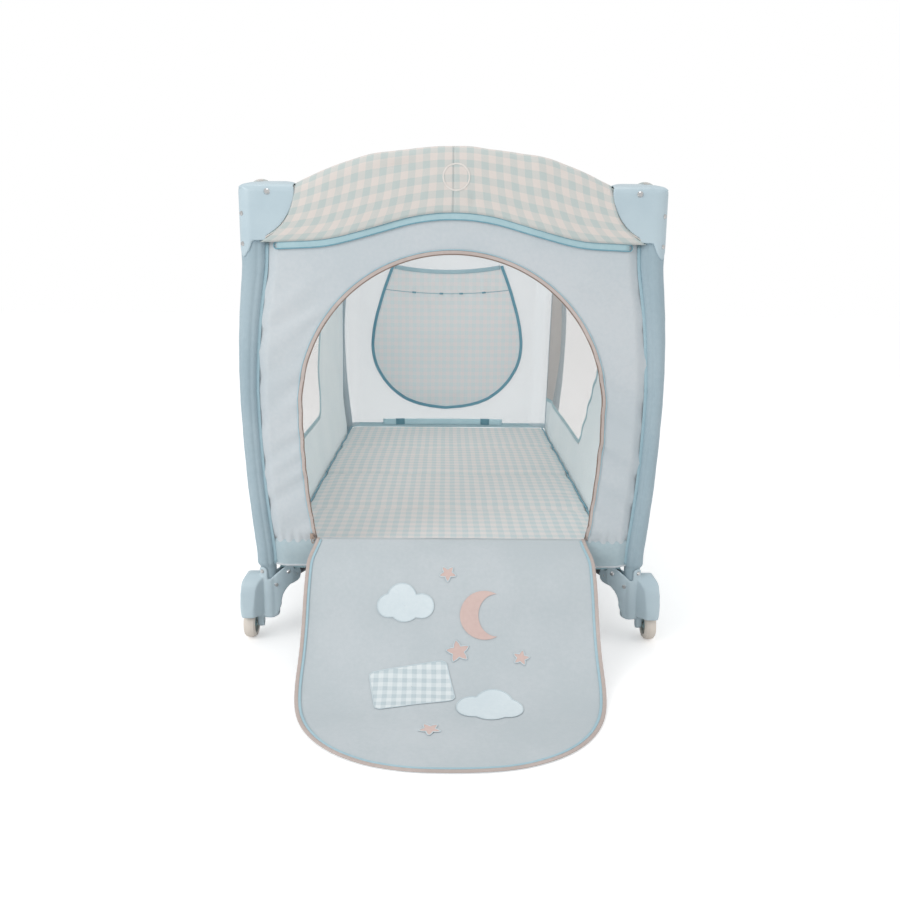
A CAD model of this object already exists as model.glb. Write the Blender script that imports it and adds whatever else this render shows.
# %% [markdown]
# # A folding playpen
# A playpen is a folding steel frame that wears its fabric like a coat. The frame arrives as a
# finished, jointed model. This lesson dresses it: sleeves on the legs, padded hoods on the rails,
# walls of cloth and netting, an arched door with its flap let down, and a folding mattress.

# %% Open the frame
import math

import bmesh
import bpy
import numpy as np
from mathutils import Matrix, Vector, noise


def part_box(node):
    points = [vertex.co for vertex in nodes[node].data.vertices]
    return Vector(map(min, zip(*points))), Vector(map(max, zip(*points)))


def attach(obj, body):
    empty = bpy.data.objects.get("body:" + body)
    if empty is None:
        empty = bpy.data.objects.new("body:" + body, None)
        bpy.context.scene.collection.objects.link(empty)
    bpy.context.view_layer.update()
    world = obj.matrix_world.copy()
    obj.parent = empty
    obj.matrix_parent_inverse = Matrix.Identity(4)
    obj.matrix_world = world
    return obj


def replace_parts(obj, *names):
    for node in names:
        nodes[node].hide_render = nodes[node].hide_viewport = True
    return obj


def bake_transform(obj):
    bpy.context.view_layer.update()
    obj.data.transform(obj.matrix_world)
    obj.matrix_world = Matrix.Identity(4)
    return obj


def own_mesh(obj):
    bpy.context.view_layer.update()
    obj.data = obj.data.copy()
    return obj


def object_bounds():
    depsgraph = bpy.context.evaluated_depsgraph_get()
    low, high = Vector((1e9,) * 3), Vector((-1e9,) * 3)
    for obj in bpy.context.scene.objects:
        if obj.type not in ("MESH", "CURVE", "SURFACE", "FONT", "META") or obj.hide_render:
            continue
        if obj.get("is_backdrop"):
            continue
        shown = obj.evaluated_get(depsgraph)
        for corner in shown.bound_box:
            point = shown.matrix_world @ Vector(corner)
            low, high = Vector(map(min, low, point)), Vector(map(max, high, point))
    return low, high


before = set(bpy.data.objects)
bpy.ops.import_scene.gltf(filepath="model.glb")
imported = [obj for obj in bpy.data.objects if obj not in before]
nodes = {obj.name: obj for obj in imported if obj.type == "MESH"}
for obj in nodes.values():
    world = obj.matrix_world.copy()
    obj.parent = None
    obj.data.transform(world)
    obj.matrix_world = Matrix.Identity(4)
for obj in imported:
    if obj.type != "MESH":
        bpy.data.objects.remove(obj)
cad_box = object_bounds()

# %% [markdown]
# ## Sizes
# The cloth has to sit on the tubes, so the few sizes that both share are repeated here in metres.
# The legs bow outwards. Everything that hangs between them follows the same line, so the line is
# one function of height, built from the same arcs as the tube.

# %% Shared sizes
LEG_X, LEG_Y = 0.320, 0.614
BOW, BOW_Z = 0.013, 0.440
BOW_LOW, BOW_TOP = 0.150, 0.653
LEG_BEND = 0.25
HEM_Z, DOOR_Z = 0.139, 0.188
WALL_Y = 0.631
PIVOT_Z = 0.760
MAT_TOP = 0.150
CORNERS = {"front_left": (-1, -1), "front_right": (1, -1), "rear_left": (-1, 1), "rear_right": (1, 1)}


def arc_radius(run, drop):
    """Radius of an arc that runs along its chord and moves sideways by drop"""
    return (run * run + drop * drop) / (2 * drop)


def leg_line(z):
    """Distance of a leg's axis from the middle of the playpen at a height"""
    if z > BOW_Z:
        base, run, drop = LEG_X, BOW_TOP - BOW_Z, BOW
    else:
        base, run, drop = LEG_X - 0.002, BOW_Z - BOW_LOW, BOW + 0.002
    full = arc_radius(run, drop)
    angle = math.asin(run / full)
    radius = full - LEG_BEND
    away = abs(z - BOW_Z)
    if away <= radius * math.sin(angle):
        return LEG_X + BOW - radius + math.sqrt(radius ** 2 - away ** 2)
    if away < run:
        return base + LEG_BEND - math.sqrt(LEG_BEND ** 2 - (run - away) ** 2)
    return base


GROOVE_DEPTH = ([0.14, 0.30, 0.44, 0.56, 0.69],
                [0.012, 0.009, 0.008, 0.012, 0.020])


def groove(z):
    """Where the end walls are sewn to the leg sleeves, as a distance from the middle"""
    return leg_line(z) - float(np.interp(z, *GROOVE_DEPTH))


print("leg line at three heights:", [round(leg_line(z), 4) for z in (0.15, 0.44, 0.65)])

# %% [markdown]
# ## Making shapes
# Cloth is a sheet before it is anything else. `drape` starts from a flat grid, keeps the grid's
# own measure as a UV map in metres, so weave and checks follow the cloth, and then moves each
# corner to its place.

# %% Grids that become cloth
def smooth(a, b, x):
    """0 before a, 1 after b, and an eased step between"""
    t = min(max((x - a) / (b - a), 0.0), 1.0)
    return t * t * (3 - 2 * t)


def finish_mesh(name, bm, material):
    """Turns a bmesh into an object at the origin with one material"""
    data = bpy.data.meshes.new(name)
    bm.to_mesh(data)
    bm.free()
    piece = bpy.data.objects.new(name, data)
    bpy.context.scene.collection.objects.link(piece)
    data.materials.append(material)
    data.shade_smooth()
    return piece


def drape(name, material, cells, place, cut=(1.0, 1.0), out=None, wrap=False):
    """A grid whose corners go to place(u, v). cut is its size in metres, for the UV map.
    out is a direction that its faces look along; wrap sews its two long edges together."""
    bm = bmesh.new()
    bmesh.ops.create_grid(bm, x_segments=cells[0], y_segments=cells[1], size=0.5)
    uv = bm.loops.layers.uv.new("cut")
    for face in bm.faces:
        for loop in face.loops:
            x, y, _ = loop.vert.co
            loop[uv].uv = ((x + 0.5) * cut[0], (y + 0.5) * cut[1])
    for vert in bm.verts:
        vert.co = place(vert.co.x + 0.5, vert.co.y + 0.5)
    if wrap:
        bmesh.ops.remove_doubles(bm, verts=bm.verts, dist=1e-6)
    bm.normal_update()
    if out is not None:
        facing = sum((f.normal * f.calc_area() for f in bm.faces), Vector())
        if facing.dot(Vector(out)) < 0:
            bmesh.ops.reverse_faces(bm, faces=bm.faces)
    return finish_mesh(name, bm, material)


def thicken(piece, wall, offset=-1.0):
    """Gives a sheet a thickness, inwards from its face"""
    solid = piece.modifiers.new("wall", "SOLIDIFY")
    solid.thickness, solid.offset = wall, offset
    return piece


def cut_from(bm, along):
    """Measures cloth by where it lies, along two of x, y and z, and gives its area"""
    cut = bm.loops.layers.uv["cut"]
    for face in bm.faces:
        for loop in face.loops:
            loop[cut].uv = (loop.vert.co[along[0]], loop.vert.co[along[1]])
    return sum(f.calc_area() for f in bm.faces)


# %% [markdown]
# ## Piping and tape
# Piping, tape and straps are the same idea as cloth: a grid, but rolled round a path. A section
# says how thick the strand is, and an outward direction keeps it from twisting on its way.

# %% Grids rolled round a path
def rounds(path, closed):
    """Tangents of a path of points"""
    n = len(path)
    if closed:
        return [(path[(i + 1) % n] - path[i - 1]).normalized() for i in range(n)]
    return [(path[min(i + 1, n - 1)] - path[max(i - 1, 0)]).normalized() for i in range(n)]


def sweep(name, material, path, section, up, closed=False):
    """Carries a section, a list of (sideways, outwards) points, along a path.
    up is the outward direction, one for all or one for each point of the path."""
    path = [Vector(p) for p in path]
    ups = [Vector(up)] * len(path) if not isinstance(up, list) else [Vector(u) for u in up]
    runs = rounds(path, closed)
    if closed:
        path, ups, runs = path + path[:1], ups + ups[:1], runs + runs[:1]
    n, m = len(path) - 1, len(section)
    length = sum((path[i + 1] - path[i]).length for i in range(n))
    girth = sum(math.dist(section[j], section[j - 1]) for j in range(m))

    def place(u, v):
        i, j = round(u * n), round(v * m) % m
        side = runs[i].cross(ups[i]).normalized()
        lift = side.cross(runs[i]).normalized()
        a, b = section[j]
        return path[i] + side * a + lift * b

    piece = drape(name, material, (n, m), place, (length, girth), wrap=True)
    bm = bmesh.new()
    bm.from_mesh(piece.data)
    if not closed:
        bmesh.ops.holes_fill(bm, edges=[e for e in bm.edges if e.is_boundary])
    bmesh.ops.recalc_face_normals(bm, faces=bm.faces)
    bm.to_mesh(piece.data)
    bm.free()
    return piece


def disc(radius, sides=8):
    """A round section"""
    turns = [2 * math.pi * i / sides for i in range(sides)]
    return [(radius * math.cos(a), radius * math.sin(a)) for a in turns]


def band(width, thick, sides=12, power=0.45):
    """A flat section with soft edges"""
    turns = [2 * math.pi * (i + 0.5) / sides for i in range(sides)]
    def soft(x):
        return math.copysign(abs(x) ** power, x)
    return [(width / 2 * soft(math.cos(a)), thick / 2 * soft(math.sin(a))) for a in turns]


def ripple(x, y, z, seed=0.0):
    """Smooth noise between -1 and 1"""
    return noise.noise(Vector((x + seed, y - seed, z + 2 * seed)))


print("ready to drape, sweep and thicken")

# %% [markdown]
# ## Writing finishes as sums
# A finish is a small tree of shader nodes. Wiring them by hand is slow to read, so `Value` wraps
# one socket and lets plain Python arithmetic add the Math nodes. `Finish.node`, further on, makes
# every other kind of node from its type, its settings and what goes into its sockets.

# %% Shader values
class Value:
    """One output socket; +, - and * on it add Math nodes"""

    def __init__(self, finish, socket):
        self.finish, self.socket = finish, socket

    def math(self, operation, *others, flip=False):
        terms = [self, *others]
        if flip:
            terms.reverse()
        return self.finish.node("Math", {"operation": operation}, dict(enumerate(terms)))

    def __add__(self, other): return self.math("ADD", other)
    def __sub__(self, other): return self.math("SUBTRACT", other)
    def __mul__(self, other): return self.math("MULTIPLY", other)
    def __rsub__(self, other): return self.math("SUBTRACT", other, flip=True)
    __radd__, __rmul__ = __add__, __mul__

    def sin(self): return self.math("SINE")
    def abs(self): return self.math("ABSOLUTE")
    def sqrt(self): return self.math("SQRT")
    def low(self, other): return self.math("MINIMUM", other)

    def step(self, a, b):
        """0 below a, 1 above b, smooth between"""
        return self.finish.node("MapRange", {"interpolation_type": "SMOOTHSTEP"},
                                {"Value": self, "From Min": a, "From Max": b})


# %% [markdown]
# ## One shader for each finish
# Every finish has one Principled shader, and the sums go into its sockets. Colours are written as
# they are mixed on a screen and turned into the linear light that the shader adds up.

# %% Colours and the finish class
def paint(red, green, blue):
    """A colour as it is mixed on a screen, 0 to 255, as the shader wants it"""
    shares = (red / 255, green / 255, blue / 255)
    linear = [c / 12.92 if c <= 0.04045 else ((c + 0.055) / 1.055) ** 2.4 for c in shares]
    return (*linear, 1.0)


class Finish:
    """A material with one Principled shader"""

    def __init__(self, name, colour, rough=0.6, **fixed):
        self.material = bpy.data.materials.new(name)
        self.material.use_nodes = True
        self.tree = self.material.node_tree
        self.shader = self.tree.nodes["Principled BSDF"]
        self.set("Base Color", colour)
        self.set("Roughness", rough)
        for socket, value in fixed.items():
            self.set(socket.replace("_", " "), value)

    def set(self, socket, value):
        self.feed(self.shader.inputs[socket], value)

    def feed(self, socket, value):
        if isinstance(value, Value):
            self.tree.links.new(value.socket, socket)
        else:
            socket.default_value = value

    def node(self, kind, settings=(), sockets=(), out=0):
        made = self.tree.nodes.new("ShaderNode" + kind)
        for key, value in dict(settings).items():
            setattr(made, key, value)
        for key, value in dict(sockets).items():
            self.feed(made.inputs[key], value)
        return Value(self, made.outputs[out])

    def place(self, source="Object"):
        """x, y and z of the object's own coordinates, or u, v of its UV map"""
        spot = self.node("TexCoord", out={"Object": 3, "UV": 2}[source])
        parts = self.node("SeparateXYZ", sockets={0: spot})
        return spot, [Value(self, parts.socket.node.outputs[i]) for i in range(3)]

    def noise(self, spot, scale, detail=3.0, rough=0.5):
        sockets = {"Vector": spot, "Scale": scale, "Detail": detail, "Roughness": rough}
        return self.node("TexNoise", sockets=sockets)

    def mix(self, share, a, b):
        """A colour from a to b"""
        return self.node("Mix", {"data_type": "RGBA"}, {0: share, 6: a, 7: b}, out=2)

    def bump(self, height, strength=0.3, distance=0.001):
        sockets = {"Height": height, "Strength": strength, "Distance": distance}
        self.set("Normal", self.node("Bump", sockets=sockets))


print("finishes can be written as sums")

# %% [markdown]
# ## Fabrics
# The coat is thin polyester. It shows a fine weave close up, a slow drift of tone where it has
# been handled, and a soft sheen. The weave is two crossed waves along the cloth's own measure,
# which stand for warp and weft, and they only feed a bump.

# %% Plain cloth
GLOW_DEPTH = 0.006


def weave(u, v, pitch):
    """Warp and weft threads as a height from 0 to 1"""
    turn = 2 * math.pi / pitch
    warp, weft = (u * turn).sin() * 0.5 + 0.5, (v * turn).sin() * 0.5 + 0.5
    over = ((u * (turn / 2)).sin() * (v * (turn / 2)).sin()).step(-0.3, 0.3)
    return warp * over + weft * (1 - over)


def cloth(name, colour, dark, source="UV", rough=0.72, pitch=0.0009, sheen=0.25, bump=0.25, through=0.0):
    """through is the share of light that goes into the threads and out on the other side"""
    f = Finish(name, colour, rough, Sheen_Weight=sheen, Sheen_Roughness=0.4, Specular_IOR_Level=0.3,
               Subsurface_Weight=through, Subsurface_Radius=(1, 1, 1), Subsurface_Scale=GLOW_DEPTH)
    spot, (u, v, _) = f.place("Object")
    if source == "UV":
        u, v, _ = f.place("UV")[1]
    drift = f.noise(spot, 7.0, 4.0) * 0.7 + f.noise(spot, 160.0, 2.0) * 0.3
    f.set("Base Color", f.mix(drift.step(0.35, 0.7), dark, colour))
    f.set("Roughness", rough - 0.12 * f.noise(spot, 30.0))
    f.bump(weave(u, v, pitch) + f.noise(spot, 900.0, 1.0) * 0.4, bump, 0.0003)
    return f.material


blue_cloth = cloth("pale blue polyester", paint(207, 213, 217), paint(197, 206, 211))
sleeve_cloth = cloth("grey blue sleeve cloth", paint(171, 190, 199), paint(160, 181, 191))
seam_cloth = cloth("teal seam tape", paint(172, 200, 210), paint(160, 190, 201), pitch=0.0013, bump=0.4)
band_cloth = cloth("binding tape", paint(180, 209, 216), paint(168, 199, 207), pitch=0.0014)
side_cloth = cloth("long wall polyester", paint(226, 240, 243), paint(217, 233, 237), through=0.8)
flap_cloth = cloth("flap polyester", paint(203, 210, 214), paint(194, 203, 207))
piping_cloth = cloth("teal piping", paint(126, 176, 194), paint(108, 160, 180), pitch=0.0012, bump=0.4)
pale_piping = cloth("pale blue piping", paint(180, 208, 218), paint(168, 199, 210), pitch=0.0012, bump=0.4)
deep_cloth = cloth("deep teal edge", paint(130, 176, 191), paint(116, 163, 179), pitch=0.0012)
ring_thread = cloth("cream thread", paint(238, 234, 229), paint(228, 223, 218), pitch=0.0007, bump=0.5)
strap_cloth = cloth("teal strap", paint(218, 246, 253), paint(204, 236, 245), pitch=0.0016, bump=0.4)
zip_cloth = cloth("taupe zip tape", paint(204, 192, 187), paint(191, 178, 172), pitch=0.0011, sheen=0.1)
print("plain cloths:", len(bpy.data.materials))

# %% [markdown]
# ## The check
# The padded pieces wear a cream and mint check. A gingham is woven, not printed: coloured warp
# crosses coloured weft, so the colour has three levels, none, one and both. Two square waves
# added together give those three levels, and a diagonal twill breaks up the middle one.

# %% Gingham cloth
CHECK = 0.0225
TWILL = 0.0011


def gingham(name, pitch, source, light, dark, axes=(0, 1), through=0.0, stretch=1.0):
    """pitch is the check's repeat; stretch makes the checks longer than they are wide"""
    f = Finish(name, light, 0.78, Sheen_Weight=0.2, Sheen_Roughness=0.5, Specular_IOR_Level=0.25,
               Subsurface_Weight=through, Subsurface_Radius=(1, 1, 1), Subsurface_Scale=GLOW_DEPTH)
    spot, parts = f.place("Object")
    wander = f.noise(spot, 9.0, 2.0) * 0.0035 - 0.00175
    uv = f.place("UV")[1] if source == "UV" else parts
    u, v = uv[axes[0]], uv[axes[1]]

    def stripe(x):
        wave = ((x + wander) * (2 * math.pi / pitch)).sin()
        return wave.step(-0.16, 0.16)

    across, along = stripe(u), stripe(v * (1 / stretch))
    twill = ((u + v) * (2 * math.pi / TWILL)).sin().step(-0.6, 0.6)
    single = (across - along).abs()
    amount = across * along + single * (0.40 + 0.16 * twill)
    drift = f.noise(spot, 11.0, 3.0) * 0.10 + f.noise(spot, 300.0, 1.0) * 0.06
    f.set("Base Color", f.mix((amount * 0.94 + drift).low(1.0), light, dark))
    f.bump(weave(u, v, 0.001) + f.noise(spot, 900.0, 1.0) * 0.4, 0.25, 0.0003)
    return f.material


CREAM, MINT = paint(226, 217, 211), paint(194, 204, 202)
cover_check = gingham("cover check", CHECK, "UV", CREAM, MINT)
mattress_check = gingham("mattress check", CHECK, "Object", paint(242, 236, 233), paint(211, 222, 223),
                         stretch=1.25)
pocket_check = gingham("pocket check", CHECK, "Object", paint(255, 255, 255), paint(238, 252, 254),
                       axes=(0, 2), through=0.8)
print("checks with a repeat of", 1000 * CHECK, "mm")

# %% [markdown]
# ## Netting
# The windows are warp-knit netting: threads about a third of a millimetre thick round holes of
# two millimetres. Modelling each hole would need millions of faces, so the sheet is one face
# thick and its alpha opens the holes: two crossed waves, offset like a honeycomb.

# %% Netting
MESH = 0.0030
HONEYCOMB = 0.577


def netting(name, colour, hole, thread, axes=(1, 2)):
    """hole and thread are the alpha in a hole and on a thread; axes say how the sheet lies"""
    f = Finish(name, colour, 0.7, Specular_IOR_Level=0.2)
    spot, parts = f.place("Object")
    u, v = parts[axes[0]], parts[axes[1]]
    turn = 2 * math.pi / MESH
    quarter = math.pi / 2
    across, along = u * turn, v * turn * HONEYCOMB
    cell = across.sin() * along.sin() + (across + quarter).sin() * (along + quarter).sin()
    open_hole = cell.abs().step(0.25, 0.55)
    f.set("Alpha", thread - (thread - hole) * open_hole)
    darker = [c * 0.97 for c in colour[:3]] + [1.0]
    f.set("Base Color", f.mix(f.noise(spot, 5.0, 2.0), colour, darker))
    f.bump(open_hole * -1.0, 0.3, 0.0004)
    return f.material


rear_net = netting("white netting", paint(224, 232, 237), 0.42, 0.92, axes=(0, 2))
side_net = netting("clear netting", paint(206, 200, 197), 0.34, 0.84)
print("two nettings")

# %% [markdown]
# ## Hard finishes
# The mouldings are satin plastic: an even colour, a very fine spark-eroded grain, and edges that
# handling has rubbed a little smoother. The tubes wear powder coat, which is rounder and duller.

# %% Plastics and metals
def moulded(name, colour, dark, rough=0.42, grain=2500.0, coat=0.0, bump=0.12):
    """Plastic or powder coat, with a grain and rubbed patches"""
    f = Finish(name, colour, rough, Coat_Weight=coat, Coat_Roughness=0.2, Specular_IOR_Level=0.45)
    spot, _ = f.place("Object")
    cloud = f.noise(spot, 14.0, 4.0)
    f.set("Base Color", f.mix(cloud.step(0.3, 0.75), colour, dark))
    f.set("Roughness", rough + 0.14 * cloud - 0.07)
    f.bump(f.noise(spot, grain, 2.0) + cloud * 0.6, bump, 0.0003)
    return f.material


def metal(name, colour, rough, shine=1.0):
    """Bare or enamelled metal"""
    f = Finish(name, colour, rough, Metallic=shine)
    spot, _ = f.place("Object")
    f.set("Roughness", rough + 0.2 * f.noise(spot, 220.0, 3.0) - 0.1)
    f.bump(f.noise(spot, 1200.0, 1.0), 0.1, 0.0002)
    return f.material


shell_plastic = moulded("pale blue moulding", paint(193, 211, 219), paint(184, 203, 212), 0.38, coat=0.15)
hub_plastic = moulded("dark grey moulding", paint(104, 110, 116), paint(92, 98, 104), 0.5)
button_plastic = moulded("red moulding", paint(205, 92, 80), paint(190, 80, 70), 0.4)
dark_coat = moulded("dark powder coat", paint(78, 82, 88), paint(68, 72, 78), 0.5, 700.0, coat=0.2, bump=0.25)
pale_coat = moulded("grey powder coat", paint(206, 211, 214), paint(196, 202, 206), 0.45, 700.0,
                    coat=0.2, bump=0.25)
bright_steel = metal("bright zinc", paint(214, 214, 214), 0.24)
taupe_metal = metal("taupe enamel", paint(176, 158, 146), 0.4, 0.6)
zip_coil_finish = metal("brown zip coil", paint(138, 120, 110), 0.5, 0.2)
print(len(bpy.data.materials), "finishes in all")

# %% [markdown]
# ## The frame's own parts
# The frame's tubes, mouldings and pins keep their shapes and get a finish. The model carries one
# surface for each part, so a finish replaces it by name.

# %% Finishes on the frame
def wear(prefix, material):
    """Puts a finish on each frame part whose name starts with prefix"""
    found = [part for name, part in nodes.items() if name.startswith(prefix)]
    for part in found:
        part.data.materials.clear()
        part.data.materials.append(material)
    return len(found)


wheel_low, wheel_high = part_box("wheel_left")
axle = [(a + b) / 2 for a, b in zip(wheel_low, wheel_high)]
wheel_f = Finish("wheel", paint(226, 217, 207), 0.6, Specular_IOR_Level=0.4)
spot, (_, wy, wz) = wheel_f.place("Object")
reach = ((wy - axle[1]) * (wy - axle[1]) + (wz - axle[2]) * (wz - axle[2])).sqrt()
rubber = reach.step(0.0180, 0.0186)
scuff = wheel_f.noise(spot, 60.0, 4.0).step(0.45, 0.75) * 0.35
tyre_colour = wheel_f.mix(scuff, paint(228, 219, 209), paint(206, 196, 186))
wheel_f.set("Base Color", wheel_f.mix(rubber, paint(136, 178, 182), tyre_colour))
wheel_f.set("Roughness", 0.42 + 0.28 * rubber)
wheel_f.bump(wheel_f.noise(spot, 900.0, 2.0), 0.2, 0.0003)
print("axles", round(axle[2], 4), "m over the floor")
FRAME_FINISHES = {
    "hub_": hub_plastic, "base_tube": dark_coat, "leg_tube": pale_coat, "corner_joint": shell_plastic,
    "foot_": shell_plastic, "fasteners": bright_steel, "end_rail": pale_coat, "side_rail": pale_coat,
    "lock_block": hub_plastic, "release_button": button_plastic, "wheel_": wheel_f.material,
    "zip_slider": taupe_metal, "floor_cloth": blue_cloth, "leg_sleeve": blue_cloth,
    "rail_cover": cover_check, "mattress_panel": mattress_check, "front_wall": blue_cloth,
    "rear_wall": rear_net, "left_wall": side_net, "right_wall": side_net, "door_flap": flap_cloth,
    "toy_pocket": pocket_check}
dressed = sum(wear(prefix, material) for prefix, material in FRAME_FINISHES.items())
print(dressed, "frame parts have a finish")

# %% [markdown]
# ## Casting the joints and feet again
# Injection-moulded parts have soft edges, because the mould is milled with round cutters and the
# plastic shrinks back from sharp corners. A copy of each joint and foot is cast again in small
# cells and its corners are relaxed. The joint also gets the lid that closes it above the rails.

# %% Soft-edged joints and feet
CROWN = ([-0.069, -0.061, -0.047, -0.031, 0.002, 0.013, 0.0185, 0.0215, 0.024],
         [0.0060, 0.0035, 0.0010, 0.0, 0.0050, 0.0085, 0.0120, 0.0160, 0.0210])
JOINT_TOP = 0.781
smooth_cell = 0.0014


def lid(bm, sx, sy):
    """Adds the lid over a joint's two arms to a mesh, following the joint's crown"""
    for x0, x1, y0, y1 in ((-0.067, 0.0195, -0.020, 0.020), (-0.020, 0.0195, -0.067, -0.019)):
        patch = bmesh.new()
        bmesh.ops.create_grid(patch, x_segments=24, y_segments=24, size=0.5)
        for v in patch.verts:
            ox, oy = x0 + (v.co.x + 0.5) * (x1 - x0), y0 + (v.co.y + 0.5) * (y1 - y0)
            drop = max(float(np.interp(ox, *CROWN)), float(np.interp(oy, *CROWN)))
            v.co = (sx * (LEG_X + ox), sy * (LEG_Y + oy), JOINT_TOP - drop - 0.0003)
        patch.normal_update()
        if next(iter(patch.faces)).normal.z < 0:
            bmesh.ops.reverse_faces(patch, faces=patch.faces)
        bmesh.ops.solidify(patch, geom=patch.faces[:], thickness=0.0024)
        bmesh.ops.recalc_face_normals(patch, faces=patch.faces)
        temp = bpy.data.meshes.new("lid")
        patch.to_mesh(temp)
        patch.free()
        bm.from_mesh(temp)
        bpy.data.meshes.remove(temp)


def cast_again(part, relax=3, extra=None):
    """A copy of a frame part in small cells with relaxed corners"""
    bm = bmesh.new()
    bm.from_mesh(nodes[part].data)
    bmesh.ops.remove_doubles(bm, verts=bm.verts, dist=1e-5)
    if extra:
        extra(bm)
    rough_piece = finish_mesh(part + "_rough", bm, shell_plastic)
    cells = rough_piece.modifiers.new("cells", "REMESH")
    cells.mode, cells.voxel_size = "VOXEL", smooth_cell
    cast = rough_piece.evaluated_get(bpy.context.evaluated_depsgraph_get()).to_mesh()
    bm = bmesh.new()
    bm.from_mesh(cast)
    bpy.data.objects.remove(rough_piece)
    for _ in range(relax):
        bmesh.ops.smooth_vert(bm, verts=bm.verts, factor=0.5,
                              use_axis_x=True, use_axis_y=True, use_axis_z=True)
    bmesh.ops.recalc_face_normals(bm, faces=bm.faces)
    piece = finish_mesh(part + "_cast", bm, shell_plastic)
    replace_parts(piece, part)
    return piece


for corner, (sx, sy) in CORNERS.items():
    joint = cast_again("corner_joint_" + corner, extra=lambda bm: lid(bm, sx, sy))
    foot = cast_again("foot_" + corner, relax=4)
    for piece in (joint, foot):
        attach(piece, "leg_" + corner)
print("joints and feet cast again, a joint has", len(joint.data.polygons), "faces")

# %% [markdown]
# ## Riding and gathering
# A wall hangs between two legs that come together when the frame folds. Cloth gathers, a mesh
# does not, so each wall rides on one leg and is squashed towards it by as much as the legs
# close: to two fifths of its width at the ends, and to a quarter along the sides.


def gather(piece, leg, slot, *stands_for):
    """Hangs a piece on a leg, gathered along the wall that the piece belongs to"""
    corner, wall = leg
    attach(piece, "leg_" + corner)
    if wall == "end":
        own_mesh(piece)
    elif wall == "side":
        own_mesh(piece)
    if stands_for:
        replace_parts(piece, *stands_for)
    return piece


# %% [markdown]
# ## Leg sleeves
# Each leg wears a sleeve of the same polyester over thin foam. It bulges a little past the wall
# and turns in to a groove, where it is sewn to the wall with piping. A round tube of cloth round
# the leg line would miss that groove, so the section is a soft oval between groove and outside.

# %% Sleeves
SLEEVE_FOOT, SLEEVE_TOP = 0.1125, 0.688
SLEEVE_BULGE = ([0.15, 0.30, 0.44, 0.60],
                [0.0175, 0.0190, 0.0205, 0.0215])


def sleeve_point(z, turn):
    """A point of the rear right sleeve, whose leg stands at the corner with +x and +y outwards"""
    neck = 1 - smooth(HEM_Z - 0.008, HEM_Z + 0.003, z)
    inner = groove(max(z, HEM_Z)) - 0.001
    outer = leg_line(z) + float(np.interp(z, *SLEEVE_BULGE))
    inner += (leg_line(z) - 0.0136 - inner) * neck
    outer += (leg_line(z) + 0.0136 - outer) * neck
    centre, half = (inner + outer) / 2, (outer - inner) / 2
    a = 2 * math.pi * turn
    soft = 0.85 + 0.15 * neck
    x = centre + half * math.copysign(abs(math.cos(a)) ** soft, math.cos(a))
    y = 0.002 * (1 - neck) + (0.0172 - 0.0036 * neck) * math.copysign(abs(math.sin(a)) ** soft, math.sin(a))
    across = (x - inner) / (outer - inner)
    dent = 0.0017 * math.exp(-((across - 0.30) / 0.09) ** 2)
    dent += 0.0011 * math.exp(-((across - 0.84) / 0.07) ** 2)
    fold = 0.0006 * ripple(x * 30, y * 30, z * 22) + 0.0004 * ripple(x * 80, y * 80, z * 60, 3.0)
    fold = (fold - dent * abs(math.sin(a))) * (1 - neck)
    return Vector((x + fold * math.cos(a), LEG_Y + y + fold * math.sin(a), z))


def make_sleeve(corner):
    """Sews, closes and hangs the sleeve of one leg"""
    sx, sy = CORNERS[corner]

    def place(u, v):
        z = float(np.interp(v, [0, 0.14, 1], [SLEEVE_FOOT, 0.150, SLEEVE_TOP]))
        p = sleeve_point(z, u % 1.0)
        return Vector((p.x * sx, p.y * sy, p.z))

    sleeve = drape("sleeve_" + corner, sleeve_cloth, (56, 100), place, (0.12, 0.57), wrap=True)
    bm = bmesh.new()
    bm.from_mesh(sleeve.data)
    bmesh.ops.holes_fill(bm, edges=[e for e in bm.edges if e.is_boundary])
    bmesh.ops.recalc_face_normals(bm, faces=bm.faces)
    bm.to_mesh(sleeve.data)
    bm.free()
    return gather(sleeve, (corner, None), "blue_fabric", "leg_sleeve_" + corner)


for corner in CORNERS:
    make_sleeve(corner)
print("four sleeves,", round(SLEEVE_TOP - SLEEVE_FOOT, 3), "m tall")

# %% [markdown]
# ## The door wall
# The front wall is one panel with an arched opening. A sheet with a hole is easiest as a ring:
# rays from the middle of the arch meet the opening and then the panel's edge, and the grid is
# stretched between the two. Rays are placed so that each sharp corner gets one.

# %% Outlines of the door wall
DOOR_MID = 0.417
DOOR_HALF, DOOR_BASE = 0.251, 0.2315
WALL_TUCK = 0.016
COVER_LOW = ([0, 0.030, 0.063, 0.087, 0.110, 0.133, 0.156, 0.180, 0.206, 0.230, 0.255, 0.287, 0.30],
             [0.7305, 0.7293, 0.7245, 0.7185, 0.7118, 0.7052, 0.6990, 0.6925, 0.6873, 0.6852, 0.6843,
              0.6828, 0.6826])
COVER_TOP = ([0, 0.030, 0.055, 0.080, 0.110, 0.140, 0.160, 0.175, 0.205, 0.238, 0.26],
             [0.8334, 0.8324, 0.8292, 0.8264, 0.8224, 0.8185, 0.8130, 0.8080, 0.7967, 0.7812, 0.7700])


def rounded(table, x, reach=0.012):
    """A table of heights, read with its corners eased"""
    return sum(float(np.interp(abs(x + reach * k), *table)) for k in (-2, -1, 0, 1, 2)) / 5


def door_half(z):
    """Half width of the door opening at a height"""
    if z >= DOOR_MID:
        return math.sqrt(max(DOOR_HALF ** 2 - (z - DOOR_MID) ** 2, 0.0))
    radius = arc_radius(DOOR_MID - DOOR_Z, DOOR_HALF - DOOR_BASE)
    return DOOR_HALF - radius + math.sqrt(radius ** 2 - (DOOR_MID - z) ** 2)


def in_door(x, z):
    """Whether a place lies in the door opening"""
    return DOOR_Z <= z <= DOOR_MID + DOOR_HALF and abs(x) <= door_half(z)


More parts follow.
